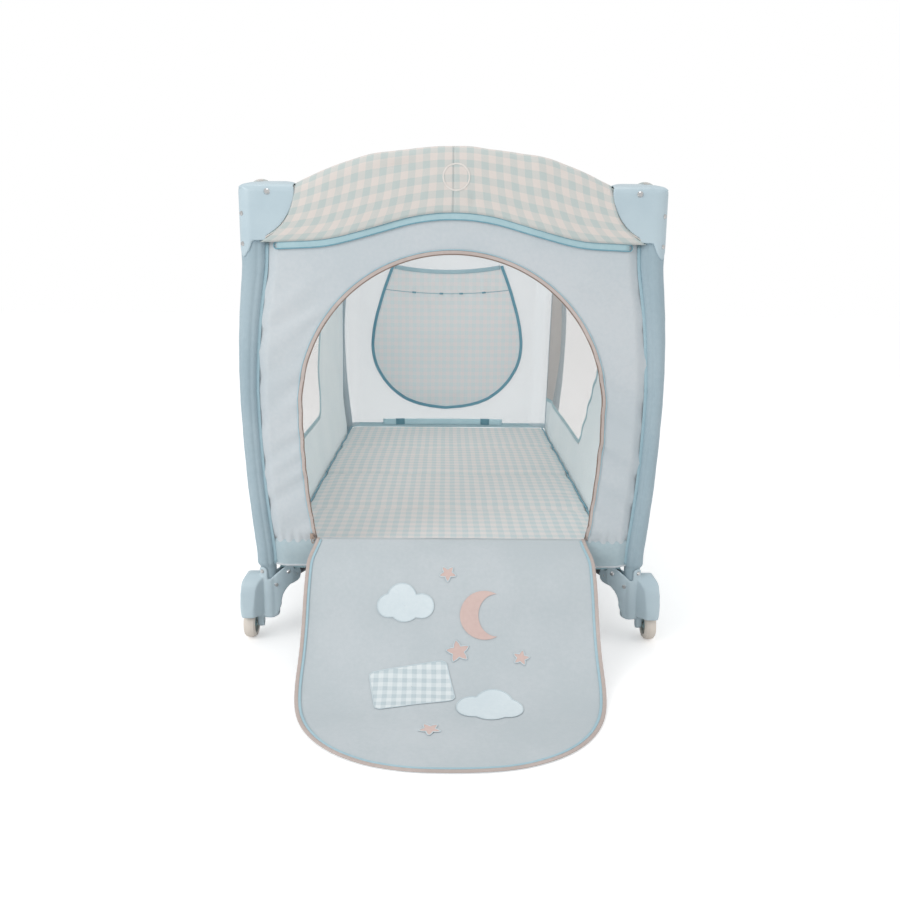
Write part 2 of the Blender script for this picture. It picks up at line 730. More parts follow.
def in_panel(x, z):
    """Whether a place lies in the panel between sleeves, hem and hood"""
    return HEM_Z <= z <= rounded(COVER_LOW, x) + WALL_TUCK and abs(x) <= groove(z)


def meet(inside, angle, reach=0.6):
    """How far a ray from the middle of the arch runs before it leaves a shape"""
    near, far = 0.0, reach
    for _ in range(30):
        mid = (near + far) / 2
        if inside(mid * math.cos(angle), DOOR_MID + mid * math.sin(angle)):
            near = mid
        else:
            far = mid
    return near


def corner_angle(x, z):
    """Direction of a place, seen from the middle of the arch"""
    return math.atan2(z - DOOR_MID, x)


knots = sorted([corner_angle(s * x, z) for s in (-1, 1) for x, z in (
    (groove(HEM_Z), HEM_Z), (DOOR_BASE, DOOR_Z), (groove(0.70), rounded(COVER_LOW, 0.30) + WALL_TUCK))])
knots = knots + [knots[0] + 2 * math.pi]
steps = [round(224 * (knots[i + 1] - knots[i]) / (2 * math.pi)) for i in range(len(knots) - 1)]
RAYS = sum(steps)
marks = np.cumsum([0] + steps) / RAYS
print("door wall has", RAYS, "rays")

# %% Sewing the door wall
def front_depth(x, z):
    """How far the door wall stands out, from the middle plane of the playpen"""
    edge = groove(z) - abs(x)
    tuck = 0.010 * (1 - smooth(0.0, 0.022, edge))
    if z > DOOR_MID:
        near_door = math.hypot(x, z - DOOR_MID) - DOOR_HALF
    else:
        near_door = abs(x) - door_half(z)
    beside = smooth(0.17, 0.24, abs(x)) * smooth(0.16, 0.22, z) * (1 - smooth(0.60, 0.66, z))
    pull = math.exp(-max(near_door, 0) / 0.05)
    slope = math.copysign(1, x)
    lines = ripple(x * 5, 0, (z + 0.62 * abs(x)) * 40, 7.0) * 0.0085 * (0.35 + 0.65 * pull) * beside
    fine = ripple(x * 14, 0, (z + 0.45 * abs(x)) * 95, 3.0) * 0.0010 * beside
    broad = ripple(x * 6, 0, z * 7, 1.0) * 0.0022 * smooth(0.0, 0.03, edge)
    hem = ripple(x * 16, 0, z * 5, 5.0 + slope) * 0.0015 * (1 - smooth(0.15, 0.24, z))
    puff = 0.0022 * math.exp(-((z - 0.163) / 0.012) ** 2) - 0.0040 * math.exp(-((z - 0.1855) / 0.0035) ** 2)
    return WALL_Y + 0.0005 - tuck + lines + fine + broad + hem + puff * smooth(0.0, 0.01, edge)


def door_wall_point(u, v):
    """A point on a ray: v is 0 at the opening and 1 at the edge of the panel"""
    angle = float(np.interp(u, marks, knots))
    inner, outer = meet(in_door, angle), meet(in_panel, angle)
    r = inner + (outer - inner) * v
    x, z = r * math.cos(angle), DOOR_MID + r * math.sin(angle)
    return Vector((x, -front_depth(x, z), z))


door_wall = drape("door_wall", blue_cloth, (RAYS, 44), door_wall_point, (1.9, 0.16), (0, -1, 0), wrap=True)
bm = bmesh.new()
bm.from_mesh(door_wall.data)
wall_area = cut_from(bm, (0, 2))
bm.to_mesh(door_wall.data)
bm.free()
thicken(door_wall, 0.0014)
gather(door_wall, ("front_left", "end"), "blue_fabric", "front_wall")
print("door wall:", round(wall_area, 3), "square metres of cloth")

# %% [markdown]
# ## Zip and piping of the door
# A zip runs round the arch: a taupe tape with a coil along its inner edge, and a thread of blue
# piping outside it. Both follow the opening's outline, so they are swept along it.

# %% Door trims
def arch_path(out=0.0, count=160):
    """Points along the door opening, out metres outside it, from the left hinge to the right"""
    points = []
    base_angle = corner_angle(DOOR_BASE, DOOR_Z)
    for i in range(count + 1):
        angle = math.pi - base_angle + (2 * base_angle - math.pi) * i / count
        r = meet(in_door, angle) + out
        x, z = r * math.cos(angle), DOOR_MID + r * math.sin(angle)
        points.append((x, -front_depth(x, z) - 0.0012, max(z, DOOR_Z)))
    return points


FRONT = (0, -1, 0)
zip_tape = sweep("door_zip_tape", zip_cloth, arch_path(0.0008), band(0.0062, 0.0028), FRONT)
zip_edge = sweep("door_zip_edge", pale_piping, arch_path(0.0050), disc(0.0010), FRONT)
for piece in (zip_tape, zip_edge):
    gather(piece, ("front_left", "end"), "blue_fabric")


def coil_path():
    """The teeth of the zip lie just inside its tape"""
    return [Vector(p) + Vector((0, -0.0008, 0)) for p in arch_path(-0.0022, 200)]


zip_coil = sweep("door_zip_coil", zip_coil_finish, coil_path(), disc(0.0010), FRONT)
gather(zip_coil, ("front_left", "end"), "slider_metal")


def groove_path(sx, sy, top=0.684, count=60):
    """The seam between an end wall and a sleeve, from hem to top"""
    zs = [HEM_Z + (top - HEM_Z) * i / count for i in range(count + 1)]
    return [(sx * (groove(z) + 0.0004), sy * (LEG_Y + 0.0085), z) for z in zs]


for corner, (sx, sy) in CORNERS.items():
    tape = [(x - sx * 0.0026, y + sy * 0.0012, z) for x, y, z in groove_path(sx, sy)]
    for seam in (sweep("end_seam_" + corner, piping_cloth, groove_path(sx, sy), disc(0.0013), (0, sy, 0)),
                 sweep("end_seam_tape_" + corner, seam_cloth, tape, band(0.0052, 0.0014), (0, sy, 0))):
        gather(seam, (corner, None), "blue_fabric")

# %% Skirt, hem and slider of the door wall
SKIRT = 0.046
skirt_cloth = cloth("door wall skirt", paint(184, 201, 207), paint(172, 192, 199))


def skirt_point(u, v):
    """A strip of darker cloth along the hem, from one sleeve to the other"""
    z = HEM_Z + SKIRT * v
    x = (2 * u - 1) * (groove(z) - 0.004)
    return Vector((x, -front_depth(x, z) - 0.0009, z))


hem_z = HEM_Z + 0.001
hem_path = [(x, -front_depth(x, hem_z) - 0.0005, hem_z) for x in np.linspace(-0.305, 0.305, 80)]
skirt = drape("door_wall_skirt", skirt_cloth, (120, 8), skirt_point, (0.61, SKIRT), FRONT)
gather(skirt, ("front_left", "end"), "blue_fabric")
door_hem = sweep("door_wall_hem", blue_cloth, hem_path, disc(0.0020), FRONT)
gather(door_hem, ("front_left", "end"), "blue_fabric")
bm = bmesh.new()
bmesh.ops.create_cube(bm, size=1.0)
bmesh.ops.scale(bm, verts=bm.verts, vec=(0.0062, 0.0036, 0.0095))
bmesh.ops.bevel(bm, geom=bm.edges[:], offset=0.0009, segments=2, profile=0.5, affect="EDGES", material=-1)
bmesh.ops.translate(bm, verts=bm.verts, vec=(-0.2380, -WALL_Y - 0.0042, DOOR_Z + 0.0050))
slider = finish_mesh("zip_slider_body", bm, taupe_metal)
around = np.linspace(0, 2 * math.pi, 25)[:-1]
pull_path = [(-0.2362 + 0.0022 * math.sin(a), -WALL_Y - 0.0064, DOOR_Z - 0.0005 + 0.0062 * math.cos(a))
             for a in around]
pull = sweep("zip_slider_pull", taupe_metal, pull_path, band(0.0016, 0.0012), FRONT, closed=True)
gather(slider, ("front_left", "end"), "slider_metal", "zip_slider")
gather(pull, ("front_left", "end"), "slider_metal")
print("zip, coil and piping round the arch")

# %% [markdown]
# ## The flap
# The door is let down and its cloth runs from the hinge over a soft hump to the floor. In the
# flat it is a panel with round outer corners, so each point is found in the flat first and then
# laid along the curve that it hangs in. Trims use the same two steps, so they always stay on it.

# %% Flap shape
FLAP_START, FLAP_TURN = math.radians(20), math.radians(62)
FLAP_R = (DOOR_Z - 0.001) / (math.cos(FLAP_START) - math.cos(FLAP_TURN) + 1 - math.cos(FLAP_TURN))
FLAP_ARC = FLAP_R * (2 * FLAP_TURN - FLAP_START)
FLAP_LEN, FLAP_TIP, FLAP_SQUARE = 0.480, 0.250, 2.44
FLAP_HALF = 0.2395
HINGE_Y = 0.6324


def flap_profile(s):
    """(distance from the wall, height, slope) at a length along the flap"""
    first = FLAP_R * (FLAP_TURN - FLAP_START)
    knee_y = FLAP_R * (math.sin(FLAP_TURN) - math.sin(FLAP_START))
    if s < first:
        a = FLAP_START + s / FLAP_R
        away = FLAP_R * (math.sin(a) - math.sin(FLAP_START))
        return away, DOOR_Z - FLAP_R * (math.cos(FLAP_START) - math.cos(a)), -a
    floor_y = knee_y + FLAP_R * math.sin(FLAP_TURN)
    if s < FLAP_ARC:
        a = FLAP_TURN - (s - first) / FLAP_R
        return floor_y - FLAP_R * math.sin(a), 0.001 + FLAP_R * (1 - math.cos(a)), -a
    return floor_y + s - FLAP_ARC, 0.001, 0.0


def flap_half(s):
    """Half width of the flap's sides at a length"""
    return 0.2295 + 0.0100 * smooth(0.0, 0.062, s)


def on_flap(x, s, lift=0.0):
    """A point of the flap from its place in the flat"""
    y, z, slope = flap_profile(max(s, 0.0))
    edge = max(0.0, 1 - (flap_half(s) - abs(x)) / 0.03)
    wave = 0.0016 * ripple(x * 9, s * 6, 0, 2.0) + 0.0008 * ripple(x * 30, s * 14, 0, 4.0)
    wave *= smooth(0.0, 0.05, s) * (1 if s < FLAP_ARC else 0.5)
    up = 0.0012 + wave + 0.002 * edge ** 2 * smooth(0.02, 0.1, s) + lift
    up = max(up, 0.0004 + lift) if s > FLAP_ARC - 0.05 else up
    return Vector((x, -HINGE_Y - y + up * math.sin(slope), z + up * math.cos(slope)))


def flap_end(across):
    """Length of the flap at a share of its half width: its end is a full, squarish round"""
    return FLAP_LEN - FLAP_TIP + FLAP_TIP * (1 - min(abs(across), 1.0) ** FLAP_SQUARE) ** (1 / FLAP_SQUARE)


def flap_point(u, v):
    """u goes across the flap, closer at its sides, and v from the hinge to its end"""
    across = math.sin(1.4 * (2 * u - 1)) / math.sin(1.4)
    s = v * flap_end(across)
    return on_flap(across * flap_half(s), s)


flap = drape("door_flap_cloth", flap_cloth, (96, 96), flap_point, (0.48, 0.48), (0, 0, 1))
bm = bmesh.new()
bm.from_mesh(flap.data)
flap_area = sum(f.calc_area() for f in bm.faces)
bm.free()
thicken(flap, 0.0010)
print("flap:", round(flap_area, 3), "square metres, radius of its fall", round(FLAP_R, 3), "m")

# %% Flap trims
def flap_edge(inset, count=40, start=0.0):
    """Points in the flat round the flap's free edge, a distance inside it"""
    side = [(-flap_half(s), s) for s in np.linspace(start, FLAP_LEN - FLAP_TIP, count)]
    power = 2 / FLAP_SQUARE
    round_end = [(-FLAP_HALF * max(math.cos(a), 0) ** power,
                  FLAP_LEN - FLAP_TIP + FLAP_TIP * math.sin(a) ** power)
                 for a in np.linspace(0, math.pi / 2, count + 1)[1:]]
    left = side + round_end
    flat = left + [(-x, s) for x, s in left[:-1]][::-1]
    kept = [Vector((x, s, 0)) for x, s in flat[:1]]
    for x, s in flat[1:]:
        if (Vector((x, s, 0)) - kept[-1]).length > 0.004:
            kept.append(Vector((x, s, 0)))
    return [p + Vector((t.y, -t.x, 0)) * inset for p, t in zip(kept, rounds(kept, False))]


def flap_trim(name, material, inset, section, lift, start=0.0):
    """A strand laid on the flap along its edge"""
    flat = flap_edge(inset, start=start)
    path = [on_flap(p.x, p.y, lift) for p in flat]
    ups = [on_flap(p.x, p.y, lift + 0.01) - on_flap(p.x, p.y, lift) for p in flat]
    return sweep(name, material, path, section, ups)


flap_tape = flap_trim("flap_zip_tape", zip_cloth, 0.0022, band(0.0060, 0.0022), 0.0004)
flap_piping = flap_trim("flap_edge_band", pale_piping, 0.0072, band(0.0042, 0.0018), 0.0008, 0.004)


def let_down(piece):
    """Hangs a piece on the door flap, gathered with the door wall"""
    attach(piece, "door_flap")
    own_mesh(piece)


for piece in (flap, flap_tape, flap_piping):
    let_down(piece)
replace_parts(flap, "door_flap")
print("flap edged with tape and piping")

# %% [markdown]
# ## Shapes sewn on the flap
# Clouds, stars and a moon of thin cloth are sewn on the flap, with a checked patch. Each is a disc
# of cells whose rim follows a distance from its middle: a cloud's rim is the farthest of several
# circles, a star's goes in and out five times. A line of stitching runs round it.

# %% Clouds, stars and a checked patch
pink_felt = cloth("pale pink applique", paint(222, 198, 191), paint(214, 188, 181), "Object")
white_felt = cloth("white applique", paint(226, 236, 240), paint(217, 229, 234), "Object")
patch_check = gingham("patch check", 0.0150, "Object", paint(231, 238, 240), paint(196, 210, 215))
stitching = cloth("pale stitching", paint(214, 226, 230), paint(200, 214, 220), "Object", bump=0.4)


def cloud(puffs):
    """The rim of a cloud made of circles, each a (distance, angle, radius) from its middle"""
    def rim(a):
        reach = 0.0
        for away, at, r in puffs:
            off = away * math.sin(a - math.radians(at))
            if abs(off) < r:
                reach = max(reach, away * math.cos(a - math.radians(at)) + math.sqrt(r * r - off * off))
        return reach
    return rim


def star(r):
    """The rim of a star with five points"""
    return lambda a: r * (0.50 + 0.50 * abs((a / (2 * math.pi / 5)) % 1 * 2 - 1) ** 1.3)


def rectangle(wide, tall):
    """The rim of a patch with soft corners, from its two half sizes"""
    def rim(a):
        c, s = abs(math.cos(a)), abs(math.sin(a))
        return (c ** 14 / wide ** 14 + s ** 14 / tall ** 14) ** (-1 / 14)
    return rim


def applique(name, material, x0, s0, rim, turn=0.0):
    """A shape round a place on the flap, and the stitching that holds it"""
    turn = math.radians(turn)

    def spot(a, share, lift):
        away = rim(a) * share
        return on_flap(x0 + away * math.cos(a + turn), s0 + away * math.sin(a + turn), lift)

    def place(u, v):
        return spot(2 * math.pi * u, 0.01 + 0.99 * v, 0.0010)

    shape = drape(name, material, (72, 10), place, out=(0, -1, 1), wrap=True)
    angles = np.linspace(0, 2 * math.pi, 73)[:-1]
    ups = [spot(a, 1, 0.01) - spot(a, 1, 0.0) for a in angles]
    line = [spot(a, 0.99, 0.0012) for a in angles]
    stitch = sweep(name + "_stitch", stitching, line, band(0.0016, 0.0008), ups, closed=True)
    return [shape, stitch]


def crescent(name, x0, s0, r):
    """A moon between the rim of a circle and a flatter inner curve"""
    def place(u, v):
        a = math.radians(60 + 240 * u)
        rim = (math.cos(a), math.sin(a))
        inner = (0.5 - 0.75 * math.sin(math.pi * u), 0.866 * math.cos(math.pi * u))
        x = x0 + r * (inner[0] + (rim[0] - inner[0]) * v)
        s = s0 + r * (inner[1] + (rim[1] - inner[1]) * v)
        return on_flap(x, s, 0.0010)

    return [drape(name, pink_felt, (40, 6), place, out=(0, -1, 1))]


puffs = [(0.0, 0, 0.026), (0.026, 180, 0.019), (0.028, 0, 0.020), (0.014, 250, 0.024)]
turned_puffs = [(away, 180 - at, r * 1.2) for away, at, r in puffs]
sewn = applique("flap_cloud_left", white_felt, -0.075, 0.130, cloud(puffs))
sewn += applique("flap_cloud_right", white_felt, 0.060, 0.315, cloud(turned_puffs), 4)
sewn += applique("flap_patch", patch_check, -0.060, 0.270, rectangle(0.062, 0.040), -11)
sewn += crescent("flap_moon", 0.055, 0.145, 0.040)
stars = [(-0.005, 0.075, 0.015), (0.012, 0.205, 0.020), (0.112, 0.215, 0.014), (-0.030, 0.375, 0.017)]
for count, (x0, s0, r) in enumerate(stars):
    sewn += applique(f"flap_star_{count + 1}", pink_felt, x0, s0, star(r), 90 + 25 * count)
for piece in sewn:
    let_down(piece)
[flap_tape, flap_piping] + sewn
print(len(sewn), "pieces sewn on the flap")

# %% [markdown]
# ## The floor cloth
# Under the mattress a plain cloth closes the bottom, with a bound edge. It is sewn from three
# lengths. When the frame folds, the middle one gathers on the hub and the others with the legs.

# %% Floor cloth
cloth_low, cloth_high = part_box("floor_cloth")
cloth_x, cloth_y, cloth_z = cloth_high[0], cloth_high[1], (cloth_low[2] + cloth_high[2]) / 2


def floor_point(u, v):
    """A point of the whole floor cloth"""
    x, y = (2 * u - 1) * cloth_x, (2 * v - 1) * cloth_y
    edge = min(cloth_x - abs(x), cloth_y - abs(y))
    return Vector((x, y, cloth_z + 0.0007 * ripple(x * 12, y * 12, 0, 41.0) * smooth(0, 0.04, edge)))


def floor_length(name, x0, x1, body):
    """One of the three lengths that the floor cloth is sewn from, with its bound edge"""
    wide, tall = x1 - x0, 2 * cloth_y

    def place(u, v):
        return floor_point((x0 + wide * u) / (2 * cloth_x) + 0.5, v)

    length = drape("floor_cloth_" + name, blue_cloth, (int(wide / 0.015), 80), place, (wide, tall), (0, 0, 1))
    thicken(length, 0.0008, 0.0)
    inner, outer = (x0, x1) if abs(x0) < abs(x1) else (x1, x0)
    ys = np.linspace(-0.998 * cloth_y, 0.998 * cloth_y, 60)
    if name == "middle":
        edges = [[(x, y) for x in np.linspace(x0, x1, 12)] for y in (ys[0], ys[-1])]
    else:
        rim = outer * 0.995
        edges = [[(x, ys[0]) for x in np.linspace(inner, rim, 10)] + [(rim, y) for y in ys[1:-1]]
                 + [(x, ys[-1]) for x in np.linspace(rim, inner, 10)]]
    bindings = [sweep(f"floor_binding_{name}_{k + 1}", band_cloth, [(x, y, cloth_z) for x, y in edge],
                      band(0.010, 0.0022), (0, 0, 1)) for k, edge in enumerate(edges)]
    for piece in [length] + bindings:
        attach(piece, body)
        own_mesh(piece)
    return length


FLOOR_SEAM = 0.120
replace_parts(floor_length("middle", -FLOOR_SEAM, FLOOR_SEAM, "hub"), "floor_cloth")
floor_length("left", -cloth_x, -FLOOR_SEAM, "leg_rear_left")
floor_length("right", FLOOR_SEAM, cloth_x, "leg_rear_right")
print("floor cloth", round(2 * cloth_x, 3), "by", round(2 * cloth_y, 3), "m")

# %% [markdown]
# ## The mattress
# The mattress is four boards with thin foam, in one checked cover that is sewn flat at the folds.
# Each board is a box with rounded edges whose top crowns a little and dips at the folds, so the
# light shows three soft creases across it.

# %% Mattress boards
MAT_X, MAT_Y, MAT_LOW = 0.294, 0.594, 0.1256
MAT_SHIFT = -0.006
BOARD = MAT_Y / 2
CREASES = [(0.063, 0.0, 0.30), (-0.180, 0.03, 0.30), (0.180, -0.30, 0.02)]


def crease(x, y):
    """How deep the creases that the folded mattress keeps are at a place"""
    return sum(math.exp(-((y - at + 0.02 * x) / 0.008) ** 2) * smooth(start - 0.03, start + 0.09, x)
               * (1 - smooth(end - 0.06, end + 0.03, x)) for at, start, end in CREASES)


def edge_wave(y):
    """The mattress's long edges are not quite straight"""
    return 0.0022 * ripple(0, y * 16, 0, 9.0)


def make_board(number):
    """One board of the mattress, cut in small cells so that its top can crown and crease"""
    centre = -MAT_Y + BOARD * (number - 0.5)
    bm = bmesh.new()
    bmesh.ops.create_cube(bm, size=1.0)
    bmesh.ops.scale(bm, verts=bm.verts, vec=(2 * MAT_X - 0.004, BOARD - 0.0012, MAT_TOP - MAT_LOW))
    bmesh.ops.translate(bm, verts=bm.verts, vec=(0, centre, (MAT_TOP + MAT_LOW) / 2))
    bmesh.ops.bevel(bm, geom=bm.edges[:], offset=0.007, segments=3, profile=0.5, affect="EDGES", material=-1)
    for axis, count in (((1, 0, 0), 60), ((0, 1, 0), 30)):
        low = min(v.co.dot(Vector(axis)) for v in bm.verts)
        high = max(v.co.dot(Vector(axis)) for v in bm.verts)
        for k in range(1, count):
            spot = low + (high - low) * k / count
            bmesh.ops.bisect_plane(bm, geom=bm.verts[:] + bm.edges[:] + bm.faces[:], dist=1e-6,
                                   plane_co=Vector(axis) * spot, plane_no=axis)
    for v in bm.verts:
        x, y, z = v.co
        side_in = smooth(0.0, 0.05, MAT_X - abs(x))
        fold_in = smooth(0.0, 0.045, BOARD / 2 - abs(y - centre))
        if z > (MAT_TOP + MAT_LOW) / 2:
            crown = 0.0030 * side_in * fold_in - 0.0030 * (1 - fold_in)
            rumple = 0.0022 * ripple(x * 5, y * 9, 0, 1.3) + 0.0010 * ripple(x * 16, y * 24, 0, 6.1)
            v.co.z += crown + rumple * (0.4 + 0.6 * side_in) - 0.0012 - 0.0030 * crease(x, y)
        v.co.x += edge_wave(y) * math.copysign(smooth(0.25, MAT_X, abs(x)), x) + MAT_SHIFT
    bmesh.ops.recalc_face_normals(bm, faces=bm.faces)
    board = finish_mesh(f"mattress_board_{number}", bm, mattress_check)
    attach(board, f"mattress_{number}")
    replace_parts(board, f"mattress_panel_{number}")
    return board


def edge_spot(y, side):
    """A point of the piping along a long edge of the mattress"""
    x = MAT_X - 0.001 + edge_wave(y) + 0.0012 * ripple(y * 60, side, 0)
    return side * x + MAT_SHIFT, y, MAT_TOP - 0.004 + 0.0022 * ripple(y * 24, side, 0)


for number in (1, 2, 3, 4):
    make_board(number)
    y0 = -MAT_Y + BOARD * (number - 1)
    for side, side_name in ((-1, "left"), (1, "right")):
        path = [edge_spot(y, side) for y in np.linspace(y0 + 0.004, y0 + BOARD - 0.004, 40)]
        edge = sweep(f"mattress_piping_{number}_{side_name}", deep_cloth, path, disc(0.0024), (0, 0, 1))
        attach(edge, f"mattress_{number}")
print("four boards of", round(BOARD, 3), "m")

# %% [markdown]
# ## Where the walls meet
# A long wall is sewn to the sleeves at both ends and its lower edge is drawn in to the mattress.
# The rear wall's netting meets it inside the rear sleeves, so this line comes before both of them.

# %% Where the long walls hang
SIDE_END = LEG_Y - 0.016
SIDE_LOW, SIDE_TOP = 0.1266, PIVOT_Z - 0.045
REAR_SEAM = {-1: [0.3255, 0.3225, 0.3195, 0.3195], 1: [0.2965, 0.3018, 0.3070, 0.3080]}


def side_x(z, y, sx):
    """How far a long wall stands from the middle; sx is its side"""
    edge = SIDE_END - abs(y)
    belly = 0.0016 * ripple(y * 4, 0, z * 5, 14.0) * smooth(0, 0.04, edge)
    loose = smooth(0, 0.12, edge)
    drawn_in = 0.011 if sx < 0 else 0.023
    pull = (drawn_in * (1 - smooth(0.15, 0.40, z)) + 0.0025 * (1 - smooth(SIDE_LOW, HEM_Z, z))) * loose
    free = leg_line(min(max(z, HEM_Z), 0.70)) - 0.004 + belly - pull
    sewn = float(np.interp(z, [0.15, 0.38, 0.57, 0.62], REAR_SEAM[sx]))
    return free + (sewn - free) * (1 - smooth(0.0, 0.06 if sx < 0 else 0.10, SIDE_END - y))


print("long walls end", round(SIDE_END, 3), "m from the middle")

# %% [markdown]
# ## Rear wall
# The rear wall is netting with a low band of cloth and a strap. The netting runs flat between the
# two rear sleeves and comes forward at its ends, where it passes inside them.

# %% Rear wall and its band
lining_cloth = cloth("rear band cloth", paint(178, 204, 212), paint(168, 196, 205), through=0.8)


def rear_depth(x, z):
    """How far the band and the strap of the rear wall stand from the middle"""
    edge = groove(z) - abs(x)
    return WALL_Y - 0.0010 - 0.010 * (1 - smooth(0.0, 0.022, edge)) + 0.0012 * ripple(x * 4, 0, z * 5, 11.0)


def rear_net_depth(x, z):
    """The netting comes forward at its ends, to pass inside the sleeves and meet the long walls"""
    edge = side_x(z, SIDE_END, int(math.copysign(1, x))) - abs(x)
    forward = 0.0335 * (1 - smooth(0.010, 0.050, edge))
    return WALL_Y - 0.0010 - forward + 0.0012 * ripple(x * 4, 0, z * 5, 11.0) * smooth(0, 0.05, edge)


def rear_top(x):
    """The netting ends inside the rear hood"""
    return rounded(COVER_LOW, x) + 0.014


def rear_point(u, v):
    """Its height and its width depend on each other, so both are found in three rounds"""
    z = 0.165
    for _ in range(3):
        across = 2 * u - 1
        x = across * side_x(z, SIDE_END, int(math.copysign(1, across)))
        z = HEM_Z + 0.006 + (rear_top(x) - HEM_Z - 0.006) * v
    return Vector((x, rear_net_depth(x, z), z))


rear_sheet = drape("rear_netting", rear_net, (90, 60), rear_point, (0.64, 0.57), (0, 1, 0))
gather(rear_sheet, ("rear_left", "end"), "mesh_fabric", "rear_wall")


def rear_band_point(u, v):
    x, z = (2 * u - 1) * groove(HEM_Z), HEM_Z + 0.014 * v
    return Vector((x, rear_depth(x, z) - 0.0012, z))


rear_band = drape("rear_band", lining_cloth, (80, 6), rear_band_point, (0.61, 0.014), (0, 1, 0))
thicken(rear_band, 0.0012, 0.0)
gather(rear_band, ("rear_left", "end"), "blue_fabric")


def strap_path(x0, x1, count):
    return [(x, rear_depth(x, 0.158) - 0.0045, 0.1565 + 0.0012 * math.cos(x * 9))
            for x in np.linspace(x0, x1, count)]


strap = sweep("rear_strap", strap_cloth, strap_path(-0.205, 0.165, 40), band(0.0175, 0.0026), (0, -1, 0))
gather(strap, ("rear_left", "end"), "blue_fabric")
for name, x0 in (("left", -0.165), ("right", 0.098)):
    tab = sweep("rear_strap_tab_" + name, deep_cloth, strap_path(x0, x0 + 0.027, 4),
                band(0.0190, 0.0036), (0, -1, 0))
    gather(tab, ("rear_left", "end"), "blue_fabric")
print("rear wall of netting,", round(rear_top(0) - HEM_Z, 3), "m tall in the middle")

# %% [markdown]
# ## Toy pocket
# A checked pocket hangs inside the rear wall. It is wide at the bottom and gathered along an
# elastic near its top, which pulls it into small pleats, and its edge is bound in blue.

# %% Pocket
POCKET = ([0.2018, 0.2035, 0.2085, 0.2165, 0.230, 0.2525, 0.287, 0.329, 0.364, 0.3995, 0.446, 0.490,
           0.553, 0.600, 0.636],
          [0.004, 0.026, 0.060, 0.093, 0.126, 0.1595, 0.1910, 0.2150, 0.2245, 0.2272, 0.222, 0.212,
           0.193, 0.176, 0.161])
POCKET_LOW, POCKET_TOP = 0.2018, 0.634
POCKET_SHIFT = -0.008


def pocket_half(z):
    """Half width of the pocket at a height; its sides are eased, its round bottom is not"""
    if z <= 0.24:
        return float(np.interp(z, *POCKET))
    return sum(float(np.interp(z + k * 0.006, *POCKET)) for k in (-2, -1, 0, 1, 2)) / 5


def elastic_z(x):
    """Height of the elastic, which sags towards the middle"""
    return 0.5505 + 0.012 * (x / 0.19) ** 2


def pocket_at(x, z, lift=0.0):
    """A point on the pocket's face, in the space between the netting and the play side"""
    inside = max(0.0, 1 - (x / max(pocket_half(z), 0.01)) ** 2)
    fill = 0.012 * inside * smooth(POCKET_LOW, 0.26, z) * (1 - smooth(0.42, 0.55, z))
    near = math.exp(-abs(z - elastic_z(x)) / 0.030)
    pleat = 0.0028 * math.sin((x + 0.003 * ripple(x * 20, 0, 0)) * 2 * math.pi / 0.034) * near
    sag = 0.0012 * ripple(x * 12, 0, z * 9, 8.0)
    return Vector((x + POCKET_SHIFT, WALL_Y - 0.0060 - fill - (pleat + 0.001) * inside - sag - lift, z))


def pocket_point(u, v):
    t = 0.5 - 0.5 * math.cos(math.pi * v) if v < 0.5 else v
    z = POCKET_LOW + (POCKET_TOP - POCKET_LOW) * t
    x = (2 * u - 1) * pocket_half(z)
    return pocket_at(x, z - 0.015 * smooth(0.55, 1.0, t) * (1 - (2 * u - 1) ** 2))


pocket = drape("toy_pocket_cloth", pocket_check, (110, 70), pocket_point, (0.44, 0.43), (0, -1, 0))
thicken(pocket, 0.0010)
gather(pocket, ("rear_left", "end"), "gingham_fabric", "toy_pocket")
outline = [(-pocket_half(z), z) for z in np.linspace(POCKET_TOP, POCKET_LOW, 80)]
outline += [(-x, z) for x, z in outline[::-1]][1:]
rim = [(x + POCKET_SHIFT, WALL_Y - 0.0078, z) for x, z in outline]
pocket_rim = sweep("toy_pocket_binding", piping_cloth, rim, band(0.0088, 0.0034), (0, -1, 0))
top_hem = [pocket_at(x, POCKET_TOP - 0.004 - 0.015 * (1 - (x / 0.161) ** 2), 0.001)
           for x in np.linspace(-0.158, 0.158, 40)]
pocket_hem = sweep("toy_pocket_hem", pale_piping, top_hem, band(0.0120, 0.0030), (0, -1, 0))
elastic = [pocket_at(x, elastic_z(x), 0.0006) for x in np.linspace(-0.188, 0.188, 120)]
pocket_elastic = sweep("toy_pocket_elastic", pale_piping, elastic, band(0.0024, 0.0010), (0, -1, 0))
for piece in (pocket_rim, pocket_hem, pocket_elastic):
    gather(piece, ("rear_left", "end"), "blue_fabric")
for number, x in enumerate((-0.100, -0.018, 0.042, 0.110)):
    tack_path = [pocket_at(x + d, elastic_z(x + d), 0.0012) for d in np.linspace(-0.0055, 0.0055, 5)]
    gather(sweep(f"toy_pocket_tack_{number + 1}", piping_cloth, tack_path, band(0.0050, 0.0016), (0, -1, 0)),
           ("rear_left", "end"), "blue_fabric")
print("pocket", round(2 * max(POCKET[1]), 3), "m wide")

# %% [markdown]
# ## Long walls
# Each long wall is netting with a low band of cloth and a sail of cloth at one end, whose edge
# sweeps up in a curve. One wall is the other turned half round, with a sweep of its own, and the
# wall on the right also has a cream facing at the far end of its window.

# %% Sails of the long walls
SAILS = {
    "left_wall": ([0.276, 0.282, 0.318, 0.383, 0.431, 0.480, 0.519, 0.565, 0.600, 0.660],
                  [0.040, 0.068, 0.102, 0.113, 0.136, 0.160, 0.215, 0.397, 0.480, 0.560]),
    "right_wall": ([0.235, 0.270, 0.310, 0.350, 0.390, 0.436, 0.480, 0.520, 0.565, 0.600, 0.660],
                   [0.045, 0.052, 0.055, 0.066, 0.094, 0.135, 0.170, 0.225, 0.370, 0.470, 0.560])}


